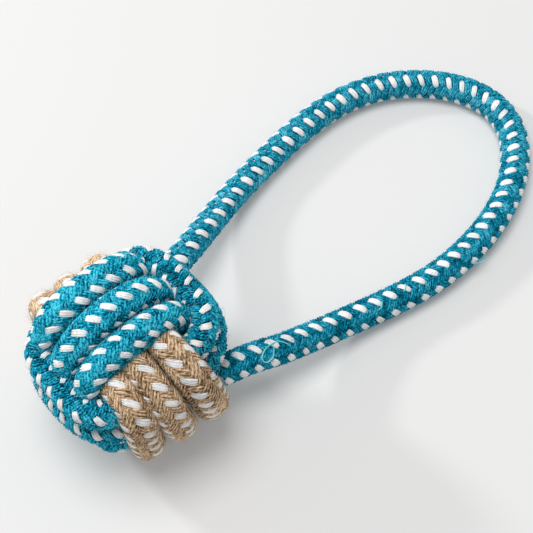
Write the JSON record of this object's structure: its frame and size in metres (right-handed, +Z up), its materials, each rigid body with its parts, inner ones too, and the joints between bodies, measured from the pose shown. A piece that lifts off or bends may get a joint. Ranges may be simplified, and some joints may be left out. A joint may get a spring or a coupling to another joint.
{
  "type": "rope dog toy",
  "caption": "Pet tug toy: a ball tied from braided rope as a monkey's fist, in teal and natural bands, with a long teal rope loop as its handle.",
  "frame": {"origin": "on the floor, under the middle of the ball", "axes": "+X from the ball towards the loop's far end, +Y across the loop, +Z up from the floor"},
  "size_m": [0.2016, 0.0857, 0.0614],
  "materials": {
    "teal_rope": "matte braided cotton with white flecks",
    "natural_rope": "matte braided natural fibre with white flecks",
    "pale_filler": "matte packed cotton yarn"
  },
  "bodies": {
    "ball": {"core_ball": "pale_filler", "over_winding": "teal_rope", "cross_winding": "natural_rope", "belt_winding": "teal_rope", "handle_bight": "teal_rope"},
    "handle": {"handle_loop": "teal_rope"}
  },
  "joints": [
    {"name": "handle_swing", "type": "hinge", "parent": "ball", "child": "handle", "pos_m": [0.029, 0, 0.0188], "axis": [0, -1, 0], "range_deg": [-30, 70]}
  ]
}
